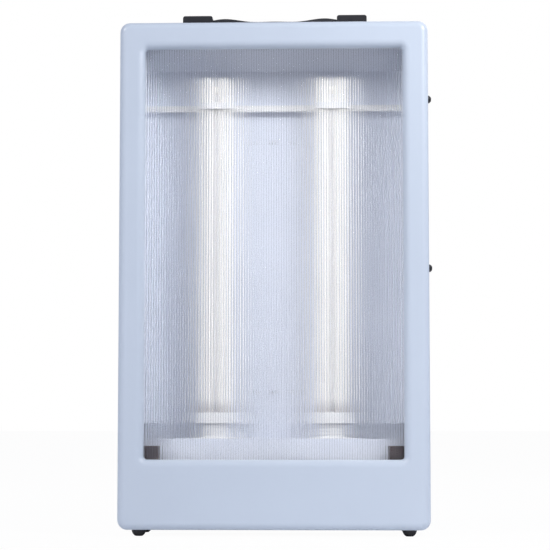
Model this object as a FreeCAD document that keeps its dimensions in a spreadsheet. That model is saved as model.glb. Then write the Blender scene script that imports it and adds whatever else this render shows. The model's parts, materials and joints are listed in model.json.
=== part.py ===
# Light therapy lamp: a free-standing light box with two long twin-tube lamps behind a reeded clear panel.
# Millimetres, +Z up, +X to the viewer's right, the window faces -Y.
# The origin lies on the table, under the middle of the case.
import FreeCAD, Part
import math
import os
import re
import Sketcher

Vector = FreeCAD.Vector

doc = FreeCAD.newDocument("LightTherapyLamp")
sheet = doc.addObject("Spreadsheet::Sheet", "Size")

driving = {
    # Case
    "caseWidth": 345,
    "caseHeight": 566,
    "rearDepth": 16,
    "wallThick": 2.5,
    "caseCorner": 11,
    "frontRoll": 8,
    "rearRoll": 5,
    # Window and its rolled return
    "sideBorder": 28.5,
    "topBorder": 30,
    "windowRise": 77,
    "windowCorner": 4,
    "windowRoll": 8.4,
    "recessDepth": 11,
    "seatThick": 2,
    "seatWidth": 21,
    # Clear panel, its gasket and its clips
    "gasketThick": 1,
    "gasketWidth": 8,
    "gasketInset": 0.5,
    "panelThick": 3,
    "panelLap": 10,
    "ribPitch": 2.8,
    "ribDepth": 0.8,
    "clipInset": 15.5,
    "clipEnd": 59.5,
    "clipLength": 14,
    "clipWidth": 12,
    "clipThick": 1.2,
    "clipBossRadius": 3.5,
    "clipScrewRadius": 1.5,
    "padWidth": 17,
    "padHeight": 15,
    "padThick": 5,
    # Side screws
    "sideScrewDepth": 18,
    "sideScrewTopEnd": 87,
    "sideScrewPitch": 190,
    "sideScrewHeadRadius": 4.5,
    "sideScrewHeadRise": 4,
    "sideScrewRadius": 2,
    "flushHeadRadius": 3.4,
    "flushHeadRise": 1.4,
    "flushSink": 1.5,
    "clinchRadius": 4,
    "clinchLength": 4,
    "screwGap": 0.2,
    "threadGap": 0.05,
    "toolReach": 1,
    # Feet
    "footHeight": 7,
    "footRadius": 8,
    "footSideInset": 23,
    "footFrontInset": 17,
    "footSeamInset": 12,
    "footScrewRadius": 1.6,
    "footScrewHead": 2.6,
    "footScrewLength": 9,
    # Chassis and reflector
    "sheetThick": 1.2,
    "chassisGap": 0.5,
    "chassisEnd": 6,
    "chassisDepth": 62,
    "flangeFrontInset": 14.2,
    "reflectorThick": 1,
    "reflectorLap": 3,
    "reflectorPanelGap": 2,
    "reflectorTopGap": 12,
    "endPlateRise": 28,
    "rivetInset": 35,
    # Lamps
    "lampSpacing": 130,
    "lampStandoff": 19,
    "lampHeadroom": 25,
    "tubeRadius": 8.75,
    "tubeSpacing": 21,
    "bridgeRadius": 4.5,
    "bridgeDrop": 16,
    "collarWidth": 43,
    "collarDepth": 23,
    "collarHeight": 12,
    "collarCorner": 4,
    "neckWidth": 27,
    "neckDepth": 18,
    "neckHeight": 16,
    "neckGroove": 0.8,
    "grooveRise": 2.4,
    "grooveHeight": 1.2,
    "groovePitch": 4,
    "pinRadius": 1.2,
    "pinLength": 7,
    "pinPitch": 6,
    "holderWidth": 50,
    "holderDepth": 26,
    "holderHeight": 24,
    "holderScrewRadius": 1.5,
    # Lamp holder bracket
    "apronGap": 3,
    "apronHeight": 23,
    "bracketRise": 40,
    "bracketScrewInset": 7,
    "bracketScrewRise": 10,
    "bracketScrewLength": 6,
    "holderScrewInset": 6,
    "holderScrewLength": 8,
    "fitGap": 0.3,
    # Lamp support bar and clips
    "barDrop": 35,
    "barHeight": 7,
    "barThick": 1.5,
    "bandThick": 1.5,
    # Ballast
    "ballastWidth": 36,
    "ballastHeadroom": 93,
    "ballastDepth": 26,
    "ballastShift": 70,
    "ballastRise": 193,
    "ballastEar": 9,
    "terminalLength": 14,
    "terminalDepth": 15,
    "terminalInset": 3,
    "smallScrewRadius": 1.5,
    "smallHeadRadius": 3,
    "smallHeadRise": 1.8,
    # Rear cover
    "lipThick": 1.5,
    "lipLength": 6,
    "lipGap": 0.3,
    "standoffRadius": 4,
    "standoffInset": 16,
    "standoffEnd": 43,
    "coverScrewRadius": 1.5,
    "coverScrewHead": 3.2,
    "coverScrewSink": 1.4,
    "coverScrewLength": 10,
    "ventWidth": 4,
    "ventHeight": 46,
    "ventPitch": 11,
    "ventTopDrop": 62,
    "ventLowRise": 130,
    # Service recess with inlet and switch
    "recessWidth": 112,
    "recessHeight": 48,
    "recessInto": 6.5,
    "recessSideInset": 85,
    "recessRise": 36,
    "inletShift": 25,
    "inletFlangeWidth": 50,
    "inletFlangeHeight": 32,
    "inletFlangeThick": 3,
    "inletBodyWidth": 46,
    "inletBodyHeight": 27,
    "inletBodyDepth": 20,
    "socketWidth": 24,
    "socketHeight": 16.5,
    "socketDepth": 17,
    "socketShift": 9,
    "bladeWidth": 4,
    "bladeThick": 2,
    "bladeLength": 11,
    "bladeSpread": 7,
    "bladeRise": 2,
    "tabLength": 8,
    "tabSpread": 5,
    "tabRise": 7,
    "tabThick": 0.8,
    "tabWidth": 6,
    "drawerWidth": 12,
    "drawerHeight": 23,
    "drawerDepth": 20,
    "drawerShift": 13.5,
    "drawerGap": 0.3,
    "drawerLipThick": 1.5,
    "drawerLipHeight": 3,
    "fuseRadius": 2.5,
    "fuseLength": 20,
    "fuseInset": 7,
    "fuseGap": 0.3,
    "switchShift": 28,
    "switchFlangeWidth": 26,
    "switchFlangeHeight": 34,
    "switchFlangeThick": 2,
    "switchBodyWidth": 23,
    "switchBodyHeight": 29,
    "switchBodyDepth": 19,
    "rockerWidth": 18,
    "rockerRadius": 11.7,
    "rockerGap": 0.3,
    "rockerSink": 4,
    "rockerCrown": 2.4,
    "rockerDip": 0.6,
    "rockerTilt": 7,
    "rockerPin": 1.5,
    "rockerPinLength": 1.2,
    "pinClearance": 0.05,
    "pinEndGap": 0.2,
    "wellGap": 1,
    # Handle
    "handleSpan": 210,
    "capLength": 34,
    "capWidth": 27,
    "capRoof": 2,
    "capSide": 2.2,
    "capRound": 3.5,
    "postRadius": 3.4,
    "handleScrewRadius": 2.2,
    "handleScrewHead": 4,
    "handleScrewSink": 1.6,
    "handleScrewRise": 1.4,
    "strapWidth": 22,
    "strapThick": 3.4,
    "strapEndRise": 6,
    "strapMidRise": 5.4,
    "strapArchRise": 8.7,
    "strapEndRun": 6,
    "strapArchRun": 12,
    "strapMidRun": 42,
    "strapSlot": 12,
    "strapLift": 3.3,
    "liftGap": 1.3,
    "backingLength": 40,
    "backingWidth": 22,
    "backingThick": 2,
    # Wiring
    "wireRoom": 12.3,
    "wireRadius": 1.4,
    "leadRadius": 2.2,
    "leadHoleGap": 1,
    "wireBend": 8,
    "wireLane": 4,
    "wireEntryInner": 4,
    "wireEntryOuter": 10,
    "liveTurnRise": 45,
    "neutralTurnRise": 30,
    "laneShiftRise": 30,
    "leadShift": 16,
    "leadRise": 12,
    "leadTurnRise": 28,
    "leadRunRise": 26,
    "terminalGap": 0.3,
    "studShift": 45,
    "studRadius": 2,
    "studLength": 10,
    "studNutRadius": 4,
    "studNutThick": 3,
    "grommetRadius": 7,
    "grommetLip": 1.2,
}
for row, (alias, number) in enumerate(driving.items(), start=1):
    sheet.set(f"A{row}", alias)
    sheet.set(f"B{row}", str(number))
    sheet.setAlias(f"B{row}", alias)
doc.recompute()

# Places worked out from the driving sizes
caseDepth = "(chassisDepth + sheetThick + wireRoom + tabLength + inletBodyDepth + recessInto)"
front = f"(-{caseDepth} / 2)"
rear = f"({caseDepth} / 2)"
seam = f"({rear} - rearDepth)"
bottom = "footHeight"
top = "(footHeight + caseHeight)"
windowLow = "(footHeight + windowRise)"
windowTop = "(footHeight + caseHeight - topBorder)"
windowWidth = "(caseWidth - 2 * sideBorder)"
windowHeight = "(caseHeight - windowRise - topBorder)"
seat = f"({front} + recessDepth)"
panelFront = f"({seat} + gasketThick)"
panelBack = f"({panelFront} + panelThick)"
panelWidth = f"({windowWidth} + 2 * panelLap)"
panelLow = f"({windowLow} - panelLap)"
panelHeight = f"({windowHeight} + 2 * panelLap)"
innerX = "(caseWidth / 2 - wallThick)"
chassisFront = f"({front} + chassisDepth)"
chassisBack = f"({chassisFront} + sheetThick)"
reflectorFace = f"({chassisFront} - reflectorThick)"
reflectorHalf = f"({windowWidth} / 2 + reflectorLap)"
bracketScrewX = f"({windowWidth} / 2 - bracketScrewInset)"
flangeX = f"({innerX} - chassisGap - sheetThick)"
lampY = f"({chassisFront} - lampStandoff)"
shelf = windowLow
holderTop = f"({shelf} + holderHeight)"
collarLow = f"({holderTop} + neckHeight)"
tubeLow = f"({collarLow} + collarHeight)"
lampTop = f"({windowTop} - lampHeadroom)"
bracketTop = f"({shelf} + bracketRise)"
barLow = f"({lampTop} - barDrop - barHeight / 2)"
barFront = f"({lampY} + tubeRadius + fitGap + bandThick)"
coverInner = f"({rear} - wallThick)"
recessFloor = f"({rear} - recessInto)"
recessMid = f"({bottom} + recessRise + recessHeight / 2)"
recessX = f"(recessSideInset - {innerX})"
inletX = f"({recessX} - inletShift)"
switchX = f"({recessX} + switchShift)"
inletFace = f"({recessFloor} + inletFlangeThick)"
inletFront = f"({recessFloor} - inletBodyDepth)"
sideScrewY = f"({front} + sideScrewDepth)"
caseMid = f"({bottom} + caseHeight / 2)"
pivotY = f"({recessFloor} + switchFlangeThick - rockerSink)"
capMid = "(handleSpan / 2 - capLength / 2)"
capHeight = "(strapEndRise + strapThick + strapLift + liftGap + capRoof)"
leadZ = f"({shelf} + leadRise)"

nodes = []


def bound(text):
    """The expression with each alias read from the sheet."""
    return re.sub(r"[A-Za-z]\w*", lambda m: ("Size." if m.group() in driving else "") + m.group(), str(text))


def amount(text):
    """The expression's value in millimetres."""
    return float(sheet.evalExpression(bound(text)))


def place(thing, x, y, z):
    for axis, text in zip("xyz", (x, y, z)):
        thing.setExpression(f"Placement.Base.{axis}", bound(text))


def keep(thing, label):
    """Marks an object as one sub-part of the lamp."""
    thing.Label = label
    nodes.append(thing)
    return thing


def block(low, size, name="Block"):
    box = doc.addObject("Part::Box", name)
    for side, text in zip(("Length", "Width", "Height"), size):
        box.setExpression(side, bound(text))
    place(box, *low)
    return box


def between(x0, x1, y0, y1, z0, z1):
    return block((x0, y0, z0), (f"({x1}) - ({x0})", f"({y1}) - ({y0})", f"({z1}) - ({z0})"))


turns = {
    "x": FreeCAD.Rotation(Vector(0, 1, 0), 90),
    "y": FreeCAD.Rotation(Vector(1, 0, 0), -90),
    "z": FreeCAD.Rotation(),
}


def rod(base, radius, length, axis="z", name="Rod"):
    cylinder = doc.addObject("Part::Cylinder", name)
    cylinder.setExpression("Radius", bound(radius))
    cylinder.setExpression("Height", bound(length))
    cylinder.Placement = FreeCAD.Placement(Vector(), turns[axis])
    place(cylinder, *base)
    return cylinder


def ball(centre, radius):
    sphere = doc.addObject("Part::Sphere", "Ball")
    sphere.setExpression("Radius", bound(radius))
    place(sphere, *centre)
    return sphere


def fuse(pieces, name="Joined"):
    joined = doc.addObject("Part::MultiFuse", name)
    joined.Shapes = pieces
    return joined


def cut(base, tools, name="Cut"):
    result = doc.addObject("Part::Cut", name)
    result.Base = base
    result.Tool = tools[0] if len(tools) == 1 else fuse(tools)
    return result


def common(first, second, name="Common"):
    result = doc.addObject("Part::Common", name)
    result.Base = first
    result.Tool = second
    return result


def group(pieces, label):
    """Separate solids of one kind in one node."""
    made = doc.addObject("Part::Compound", label)
    made.Links = pieces
    return keep(made, label)


def rounded(base, radius, chosen):
    """Fillets the edges of a Part object that the test picks."""
    doc.recompute()
    fillet = doc.addObject("Part::Fillet", "Rounded")
    fillet.Base = base
    size = amount(radius)
    fillet.Edges = [(i, size, size) for i, e in enumerate(base.Shape.Edges, start=1) if chosen(e)]
    return fillet


def solid(shape, label):
    made = doc.addObject("Part::Feature", label)
    made.Shape = shape
    return keep(made, label)


def along(axis):
    """Picks the straight edges that run along one axis."""
    want = {"x": Vector(1, 0, 0), "y": Vector(0, 1, 0), "z": Vector(0, 0, 1)}[axis]
    return lambda e: isinstance(e.Curve, Part.Line) and abs(e.tangentAt(e.FirstParameter).dot(want)) > 0.999


def inPlane(axis, text):
    """Picks the edges that lie in one plane across an axis."""
    level = amount(text)
    low = axis.upper() + "Min"
    high = axis.upper() + "Max"
    return lambda e: max(abs(getattr(e.BoundBox, low) - level), abs(getattr(e.BoundBox, high) - level)) < 0.01


# Sketch and feature helpers for the bodies


def newBody(label):
    body = doc.addObject("PartDesign::Body", label)
    return keep(body, label)


def sketchOn(body, role, offset):
    plane = [f for f in body.Origin.OriginFeatures if f.Role == role][0]
    sketch = body.newObject("Sketcher::SketchObject", body.Name + "Sketch")
    sketch.AttachmentSupport = [(plane, "")]
    sketch.MapMode = "FlatFace"
    sketch.setExpression("AttachmentOffset.Base.z", bound(offset))
    return sketch


def tie(sketch, kind, first, second, text):
    """Adds a distance constraint and binds it to the sheet."""
    index = sketch.addConstraint(Sketcher.Constraint(kind, *first, *second, amount(text)))
    sketch.setExpression(f"Constraints[{index}]", bound(text))


def rectangle(sketch, x, y, width, height):
    x0 = amount(x)
    y0 = amount(y)
    x1 = x0 + amount(width)
    y1 = y0 + amount(height)
    corners = [Vector(x0, y0), Vector(x1, y0), Vector(x1, y1), Vector(x0, y1)]
    first = sketch.GeometryCount
    for i in range(4):
        sketch.addGeometry(Part.LineSegment(corners[i], corners[(i + 1) % 4]), False)
    for i in range(4):
        sketch.addConstraint(Sketcher.Constraint("Coincident", first + i, 2, first + (i + 1) % 4, 1))
    for i in range(4):
        sketch.addConstraint(Sketcher.Constraint("Vertical" if i % 2 else "Horizontal", first + i))
    tie(sketch, "DistanceX", (-1, 1), (first, 1), x)
    tie(sketch, "DistanceY", (-1, 1), (first, 1), y)
    tie(sketch, "DistanceX", (first, 1), (first, 2), width)
    tie(sketch, "DistanceY", (first + 1, 1), (first + 1, 2), height)


def roundRectangle(sketch, x, y, width, height, radius):
    """A rectangle with four equal round corners, tied by its outer sides."""
    x0 = amount(x)
    y0 = amount(y)
    x1 = x0 + amount(width)
    y1 = y0 + amount(height)
    r = amount(radius)
    centres = [(x1 - r, y0 + r), (x1 - r, y1 - r), (x0 + r, y1 - r), (x0 + r, y0 + r)]
    starts = [(x0 + r, y0), (x1, y0 + r), (x1 - r, y1), (x0, y1 - r)]
    ends = [(x1 - r, y0), (x1, y1 - r), (x0 + r, y1), (x0, y0 + r)]
    first = sketch.GeometryCount
    for i in range(4):
        sketch.addGeometry(Part.LineSegment(Vector(*starts[i]), Vector(*ends[i])), False)
        corner = Part.Circle(Vector(*centres[i]), Vector(0, 0, 1), r)
        sketch.addGeometry(Part.ArcOfCircle(corner, (i - 1) * math.pi / 2, i * math.pi / 2), False)
    for i in range(4):
        line = first + 2 * i
        sketch.addConstraint(Sketcher.Constraint("Tangent", line, 2, line + 1, 1))
        sketch.addConstraint(Sketcher.Constraint("Tangent", line + 1, 2, first + (2 * i + 2) % 8, 1))
        sketch.addConstraint(Sketcher.Constraint("Vertical" if i % 2 else "Horizontal", line))
        if i:
            sketch.addConstraint(Sketcher.Constraint("Equal", first + 1, line + 1))
    held = sketch.addConstraint(Sketcher.Constraint("Radius", first + 1, r))
    sketch.setExpression(f"Constraints[{held}]", bound(radius))
    tie(sketch, "DistanceX", (-1, 1), (first + 6, 1), x)
    tie(sketch, "DistanceY", (-1, 1), (first, 1), y)
    tie(sketch, "DistanceX", (first + 6, 1), (first + 2, 1), width)
    tie(sketch, "DistanceY", (first, 1), (first + 4, 1), height)


def circle(sketch, x, y, radius):
    centre = Vector(amount(x), amount(y), 0)
    index = sketch.addGeometry(Part.Circle(centre, Vector(0, 0, 1), amount(radius)), False)
    tie(sketch, "DistanceX", (-1, 1), (index, 3), x)
    tie(sketch, "DistanceY", (-1, 1), (index, 3), y)
    held = sketch.addConstraint(Sketcher.Constraint("Radius", index, amount(radius)))
    sketch.setExpression(f"Constraints[{held}]", bound(radius))


def pad(body, sketch, length, backwards=False):
    feature = body.newObject("PartDesign::Pad", body.Name + "Pad")
    feature.Profile = sketch
    feature.setExpression("Length", bound(length))
    feature.Reversed = backwards
    doc.recompute()
    return feature


def pocket(body, sketch, length, backwards=False, bothWays=False):
    """A pocket that has to take material away."""
    before = body.Shape.Volume
    feature = body.newObject("PartDesign::Pocket", body.Name + "Pocket")
    feature.Profile = sketch
    feature.setExpression("Length", bound(length))
    feature.Reversed = backwards
    feature.Midplane = bothWays
    doc.recompute()
    if body.Shape.Volume > before - 0.01:
        raise ValueError(f"{body.Label}: {feature.Label} removes nothing")
    return feature


def filletEdges(body, radius, chosen):
    last = body.Tip
    names = [f"Edge{i}" for i, e in enumerate(last.Shape.Edges, start=1) if chosen(e)]
    feature = body.newObject("PartDesign::Fillet", body.Name + "Fillet")
    feature.Base = (last, names)
    feature.setExpression("Radius", bound(radius))
    doc.recompute()
    return feature


def hollow(body, wall, openFaces):
    """Leaves a shell of even thickness, open at the chosen faces."""
    last = body.Tip
    names = [f"Face{i}" for i, f in enumerate(last.Shape.Faces, start=1) if openFaces(f)]
    feature = body.newObject("PartDesign::Thickness", body.Name + "Shell")
    feature.Base = (last, names)
    feature.setExpression("Value", bound(wall))
    feature.Reversed = True
    doc.recompute()
    return feature


def nearWindow(edge, margin):
    """True for an edge no further out than the window's outline grown by the margin."""
    out = amount(margin) + 0.01
    box = edge.BoundBox
    across = max(abs(box.XMin), abs(box.XMax)) < amount(f"{windowWidth} / 2") + out
    return across and box.ZMin > amount(windowLow) - out and box.ZMax < amount(windowTop) + out


def flatAt(levels):
    """Picks the flat faces that lie at one of some depths."""
    depths = [amount(text) for text in levels]

    def chosen(face):
        flat = isinstance(face.Surface, Part.Plane) and abs(face.Surface.Axis.y) > 0.999
        return flat and any(abs(face.CenterOfMass.y - depth) < 0.01 for depth in depths)

    return chosen


sides = (-1, 1)
sideRows = (-1, 0, 1)
ventCount = 16
footSpots = [(f"{s} * (caseWidth / 2 - footSideInset)", y) for s in sides
             for y in (f"({front} + footFrontInset)", f"({seam} - footSeamInset)")]
clipSpots = [(s, f"({windowLow} + {windowHeight} / 2 + {r} * ({windowHeight} / 2 - clipEnd))")
             for s in sides for r in sideRows]
screwLevels = (f"({top} - sideScrewTopEnd)", f"({top} - sideScrewTopEnd - sideScrewPitch)")
sideSpots = [(s, z) for s in sides for z in screwLevels]
coverSpots = [(s, f"({caseMid} + {r} * (caseHeight / 2 - standoffEnd))") for s in sides for r in sideRows]
clipX = f"({windowWidth} / 2 + clipInset)"
coverX = f"({innerX} - standoffInset)"


def frontHousing():
    """The moulded front: rolled outer edges, a rolled window and a seat for the clear panel."""
    body = newBody("front_housing")
    outline = sketchOn(body, "XZ_Plane", f"-{seam}")
    roundRectangle(outline, "-caseWidth / 2", bottom, "caseWidth", "caseHeight", "caseCorner")
    pad(body, outline, f"{caseDepth} - rearDepth")
    filletEdges(body, "frontRoll", inPlane("y", front))
    cavity = sketchOn(body, "XZ_Plane", f"-{seam}")
    roundRectangle(cavity, f"-{innerX}", f"{bottom} + wallThick", f"2 * {innerX}", "caseHeight - 2 * wallThick",
                   "caseCorner - wallThick")
    pocket(body, cavity, f"{caseDepth} - rearDepth - wallThick", backwards=True)
    inside = f"{front} + wallThick"
    filletEdges(body, "frontRoll - wallThick", inPlane("y", inside))
    core = sketchOn(body, "XZ_Plane", f"-{seat}")
    roundRectangle(core, f"-{windowWidth} / 2 - wallThick", f"{windowLow} - wallThick",
                   f"{windowWidth} + 2 * wallThick", f"{windowHeight} + 2 * wallThick",
                   "windowCorner + wallThick")
    pad(body, core, "recessDepth - wallThick / 2")
    inner = inPlane("y", inside)
    filletEdges(body, "windowRoll - wallThick", lambda e: inner(e) and nearWindow(e, "wallThick"))
    window = sketchOn(body, "XZ_Plane", f"-{front}")
    roundRectangle(window, f"-{windowWidth} / 2", windowLow, windowWidth, windowHeight, "windowCorner")
    pocket(body, window, "recessDepth + toolReach")
    rim = inPlane("y", front)
    filletEdges(body, "windowRoll", lambda e: rim(e) and nearWindow(e, "0"))
    flange = sketchOn(body, "XZ_Plane", f"-{seat}")
    for reachOut in ("seatWidth", "wallThick / 2"):
        rectangle(flange, f"-{windowWidth} / 2 - {reachOut}", f"{windowLow} - {reachOut}",
                  f"{windowWidth} + 2 * {reachOut}", f"{windowHeight} + 2 * {reachOut}")
    pad(body, flange, "seatThick")
    bosses = sketchOn(body, "XZ_Plane", f"-{seat} + seatThick / 2")
    for side, z in clipSpots:
        circle(bosses, f"{side} * {clipX}", z, "clipBossRadius")
    pad(body, bosses, "seatThick / 2 + gasketThick + panelThick", backwards=True)
    bores = sketchOn(body, "XZ_Plane", f"-{panelBack}")
    for side, z in clipSpots:
        circle(bores, f"{side} * {clipX}", z, "clipScrewRadius + screwGap / 2")
    pocket(body, bores, "gasketThick + panelThick + seatThick", backwards=True)
    screwHoles = sketchOn(body, "YZ_Plane", "0")
    for z in screwLevels:
        circle(screwHoles, sideScrewY, z, "sideScrewRadius + screwGap")
    pocket(body, screwHoles, "caseWidth + 2 * toolReach", bothWays=True)
    flushSeats = sketchOn(body, "YZ_Plane", "-caseWidth / 2 - toolReach")
    for z in screwLevels:
        circle(flushSeats, sideScrewY, z, "flushHeadRadius + screwGap")
    pocket(body, flushSeats, "flushSink + toolReach", backwards=True)
    footHoles = sketchOn(body, "XY_Plane", f"{bottom} + wallThick + toolReach / 2")
    for x, y in footSpots:
        circle(footHoles, x, y, "footScrewRadius + screwGap")
    pocket(body, footHoles, "wallThick + toolReach")
    handleHoles = sketchOn(body, "XY_Plane", f"{top} + toolReach / 2")
    for side in sides:
        circle(handleHoles, f"{side} * {capMid}", "0", "handleScrewRadius + screwGap")
    pocket(body, handleHoles, "wallThick + toolReach")
    return body


def rearCover():
    """The rear tray: rolled edge, locating lips, vent slots and a recess for the inlet and the switch."""
    body = newBody("rear_cover")
    outline = sketchOn(body, "XZ_Plane", f"-{rear}")
    roundRectangle(outline, "-caseWidth / 2", bottom, "caseWidth", "caseHeight", "caseCorner")
    pad(body, outline, "rearDepth")
    filletEdges(body, "rearRoll", inPlane("y", rear))
    recess = sketchOn(body, "XZ_Plane", f"-{rear}")
    rectangle(recess, f"{recessX} - recessWidth / 2", f"{bottom} + recessRise", "recessWidth", "recessHeight")
    pocket(body, recess, "recessInto", backwards=True)
    hollow(body, "wallThick", flatAt((seam,)))
    lips = sketchOn(body, "XZ_Plane", f"-{seam} + lipLength")
    lipX = f"({innerX} - lipGap - lipThick)"
    lipSpan = "(2 * caseCorner)"
    for x in (f"-{lipX} - lipThick", lipX):
        rectangle(lips, x, f"{bottom} + {lipSpan}", "lipThick", f"caseHeight - 2 * {lipSpan}")
    for z in (f"{bottom} + wallThick + lipGap", f"{top} - wallThick - lipGap - lipThick"):
        rectangle(lips, f"-caseWidth / 2 + {lipSpan}", z, f"caseWidth - 2 * {lipSpan}", "lipThick")
    pad(body, lips, "lipLength + rearDepth - wallThick / 2", backwards=True)
    holes = sketchOn(body, "XZ_Plane", f"-{rear} - toolReach")
    for side, z in coverSpots:
        circle(holes, f"{side} * {coverX}", z, "coverScrewRadius + screwGap")
    pocket(body, holes, "wallThick + 2 * toolReach", backwards=True)
    sinks = sketchOn(body, "XZ_Plane", f"-{rear} - toolReach")
    for side, z in coverSpots:
        circle(sinks, f"{side} * {coverX}", z, "coverScrewHead + screwGap")
    pocket(body, sinks, "coverScrewSink + toolReach", backwards=True)
    openings = sketchOn(body, "XZ_Plane", f"-{rear}")
    rectangle(openings, f"{inletX} - inletBodyWidth / 2 - screwGap",
              f"{recessMid} - inletBodyHeight / 2 - screwGap",
              "inletBodyWidth + 2 * screwGap", "inletBodyHeight + 2 * screwGap")
    rectangle(openings, f"{switchX} - switchBodyWidth / 2 - screwGap",
              f"{recessMid} - switchBodyHeight / 2 - screwGap",
              "switchBodyWidth + 2 * screwGap", "switchBodyHeight + 2 * screwGap")
    pocket(body, openings, "recessInto + wallThick + toolReach", backwards=True)
    vents = sketchOn(body, "XZ_Plane", f"-{rear}")
    for low in (f"{top} - ventTopDrop - ventHeight", f"{bottom} + ventLowRise"):
        rectangle(vents, f"-({ventCount} - 1) / 2 * ventPitch - ventWidth / 2", low, "ventWidth", "ventHeight")
    slots = pocket(body, vents, "wallThick + toolReach", backwards=True)
    row = body.newObject("PartDesign::LinearPattern", "VentRow")
    row.Originals = [slots]
    row.Direction = (vents, ["H_Axis"])
    row.setExpression("Length", bound(f"({ventCount} - 1) * ventPitch"))
    row.Occurrences = ventCount
    body.Tip = row
    doc.recompute()
    return body


def screw(x, y, z, axis, toward, head, rise, shank, length):
    """A pan-head screw along an axis: its head lies on the side it is driven from."""
    spots = {"x": 0, "y": 1, "z": 2}
    headBase = [x, y, z]
    shankBase = [x, y, z]
    if toward > 0:
        headBase[spots[axis]] = f"{headBase[spots[axis]]} - ({rise})"
    else:
        shankBase[spots[axis]] = f"{shankBase[spots[axis]]} - ({length})"
    return fuse([rod(headBase, head, rise, axis), rod(shankBase, shank, length, axis)])


def sideScrews():
    """Domed black screws in the right side, flush screws in the left, and the clinch nuts that they run into."""
    domed = []
    flush = []
    nuts = []
    domeRadius = "((sideScrewHeadRadius ^ 2 + sideScrewHeadRise ^ 2) / (2 * sideScrewHeadRise))"
    across = "(2 * sideScrewHeadRadius + 2 * toolReach)"
    reach = "(wallThick + chassisGap + sheetThick + clinchLength)"
    for side, z in sideSpots:
        if side > 0:
            dome = ball((f"caseWidth / 2 + sideScrewHeadRise - {domeRadius}", sideScrewY, z), domeRadius)
            room = block(("caseWidth / 2", f"{sideScrewY} - {across} / 2", f"{z} - {across} / 2"),
                         ("sideScrewHeadRise + toolReach", across, across))
            shank = rod((f"caseWidth / 2 - {reach}", sideScrewY, z), "sideScrewRadius",
                        f"{reach} + sideScrewHeadRise / 4", "x")
            domed.append(fuse([common(dome, room), shank]))
        else:
            flush.append(screw("-caseWidth / 2 + flushSink", sideScrewY, z, "x", 1, "flushHeadRadius",
                               "flushHeadRise", "sideScrewRadius", f"{reach} - flushSink"))
        nutX = f"{flangeX} - clinchLength" if side > 0 else f"-{flangeX}"
        outer = rod((nutX, sideScrewY, z), "clinchRadius", "clinchLength", "x")
        bore = rod((f"{nutX} - toolReach", sideScrewY, z), "sideScrewRadius + threadGap",
                   "clinchLength + 2 * toolReach", "x")
        nuts.append(cut(outer, [bore]))
    group(domed, "side_screws")
    group(flush, "side_flush_screws")
    group(nuts, "side_clinch_nuts")


def feet():
    """Domed rubber feet with a small flat sole, and the screws that hold them."""
    pads = []
    screws = []
    for x, y in footSpots:
        body = rod((x, y, "0"), "footRadius", "footHeight")
        shaped = common(body, ball((x, y, "footHeight"), "footRadius"))
        hole = rod((x, y, "-toolReach"), "footScrewRadius + screwGap / 2", "footHeight + 2 * toolReach")
        sink = rod((x, y, "-toolReach"), "footScrewHead + screwGap / 2", "footHeight / 2 + toolReach")
        pads.append(cut(shaped, [hole, sink]))
        screws.append(screw(x, y, "footHeight / 2", "z", 1, "footScrewHead", "footScrewHead / 2",
                            "footScrewRadius", "footScrewLength"))
    group(pads, "rubber_feet")
    group(screws, "foot_screws")


def diffuser():
    """The clear panel with upright half-round ribs on its inner face, its gasket, clips and corner pads."""
    width = amount(panelWidth)
    pitch = amount("ribPitch")
    count = int(width / pitch)
    start = -count * pitch / 2
    edge = width / 2
    y0 = amount(panelFront)
    y1 = amount(f"{panelBack} - ribDepth")
    y2 = amount(panelBack)
    z0 = amount(panelLow)
    points = [Vector(-edge, y1, z0), Vector(-edge, y0, z0), Vector(edge, y0, z0), Vector(edge, y1, z0)]
    edges = [Part.makeLine(a, b) for a, b in zip(points, points[1:])]
    if edge + start > 0.01:
        edges.append(Part.makeLine(Vector(edge, y1, z0), Vector(-start, y1, z0)))
        edges.append(Part.makeLine(Vector(-edge, y1, z0), Vector(start, y1, z0)))
    for i in range(count):
        x = start + i * pitch
        crown = Vector(x + pitch / 2, y2, z0)
        edges.append(Part.Arc(Vector(x, y1, z0), crown, Vector(x + pitch, y1, z0)).toShape())
    face = Part.Face(Part.Wire(Part.__sortEdges__(edges)))
    solid(face.extrude(Vector(0, 0, amount(panelHeight))), "diffuser_panel")
    outer = between(f"-{windowWidth} / 2 - gasketWidth", f"{windowWidth} / 2 + gasketWidth", seat, panelFront,
                    f"{windowLow} - gasketWidth", f"{windowTop} + gasketWidth")
    inner = between(f"-{windowWidth} / 2 - gasketInset", f"{windowWidth} / 2 + gasketInset",
                    f"{seat} - toolReach", f"{panelFront} + toolReach",
                    f"{windowLow} - gasketInset", f"{windowTop} + gasketInset")
    keep(cut(outer, [inner]), "diffuser_gasket")
    clips = []
    screws = []
    for side, z in clipSpots:
        x0 = f"{clipX} + clipBossRadius - clipLength" if side > 0 else f"-{clipX} - clipBossRadius"
        plate = block((x0, panelBack, f"{z} - clipWidth / 2"), ("clipLength", "clipThick", "clipWidth"))
        hole = rod((f"{side} * {clipX}", f"{panelBack} - toolReach", z), "clipScrewRadius + screwGap / 2",
                   "clipThick + 2 * toolReach", "y")
        clips.append(cut(plate, [hole]))
        screws.append(screw(f"{side} * {clipX}", f"{panelBack} + clipThick", z, "y", -1, "smallHeadRadius",
                            "smallHeadRise", "clipScrewRadius", "clipThick + panelThick"))
    group(clips, "diffuser_clips")
    group(screws, "diffuser_clip_screws")
    pads = []
    for side in sides:
        x0 = f"{windowWidth} / 2 - padWidth" if side > 0 else f"-{windowWidth} / 2"
        pads.append(block((x0, panelBack, windowLow), ("padWidth", "padThick", "padHeight")))
    group(pads, "diffuser_corner_pads")


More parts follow.
